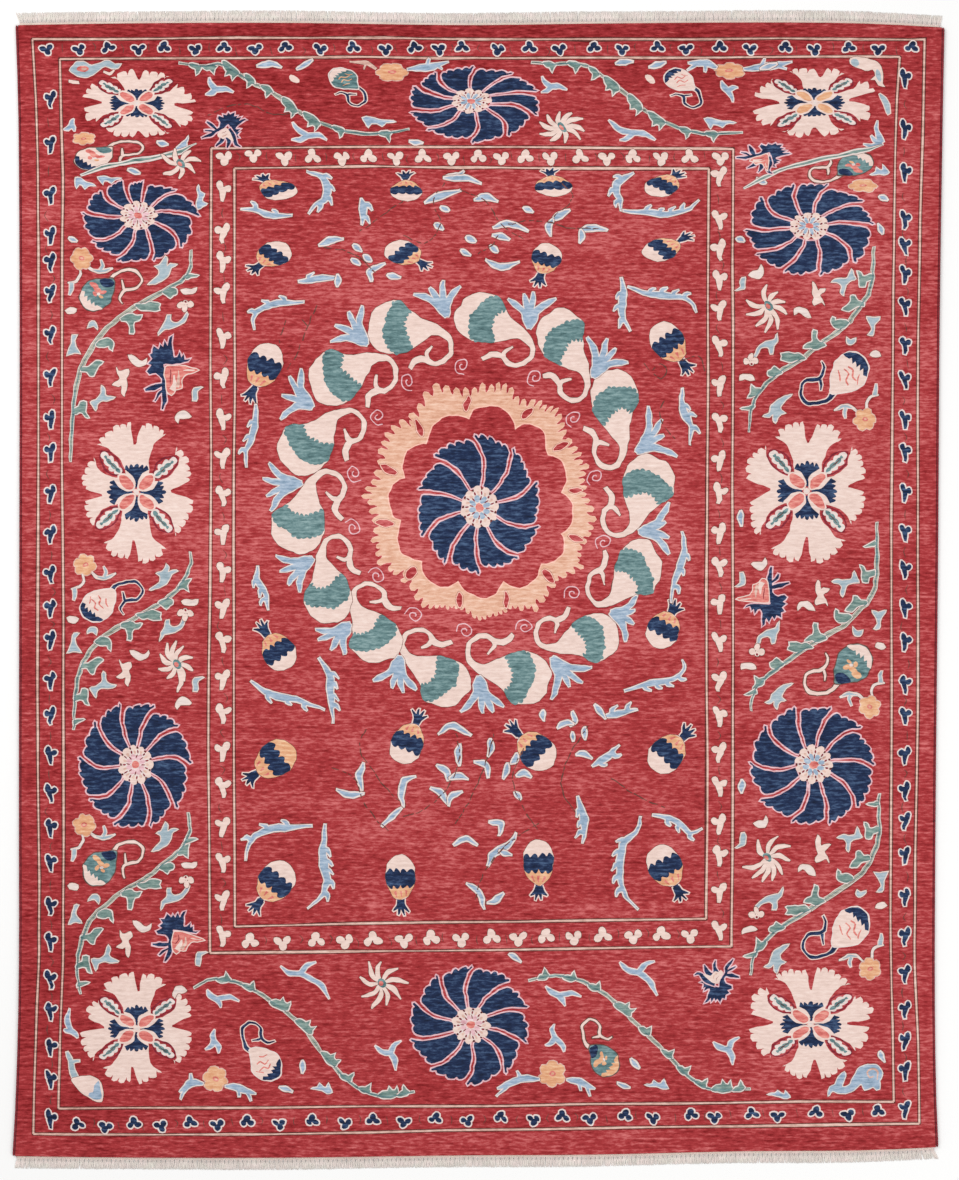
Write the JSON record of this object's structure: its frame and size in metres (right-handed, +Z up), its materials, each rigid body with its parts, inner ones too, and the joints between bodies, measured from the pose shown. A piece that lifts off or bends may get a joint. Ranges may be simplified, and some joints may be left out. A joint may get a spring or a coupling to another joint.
{
  "type": "hand-knotted wool rug",
  "caption": "Room-size hand-knotted wool rug lying flat, crimson field and border with large whirling flowers, side cords and short fringed ends",
  "frame": {"origin": "middle of the whole footprint, fringes included, on the floor under the rug", "axes": "+Z up through the pile, +Y along the warps towards the last-woven end, +X across the rug to the right"},
  "size_m": [2.4868, 3.0764, 0.01],
  "materials": {
    "wool_pile": "cut wool pile in rows of knots, crimson ground with navy, ivory, peach, sky blue and sage motifs",
    "side_cord_wool": "maroon wool overcast round the outermost warps",
    "warp_cotton": "undyed cotton, a plain-woven skirt and short loose warps"
  },
  "bodies": {
    "root": {"rug_body": "wool_pile", "side_cord_left": "side_cord_wool", "side_cord_right": "side_cord_wool", "fringe_first_end": "warp_cotton", "fringe_last_end": "warp_cotton"}
  },
  "joints": []
}
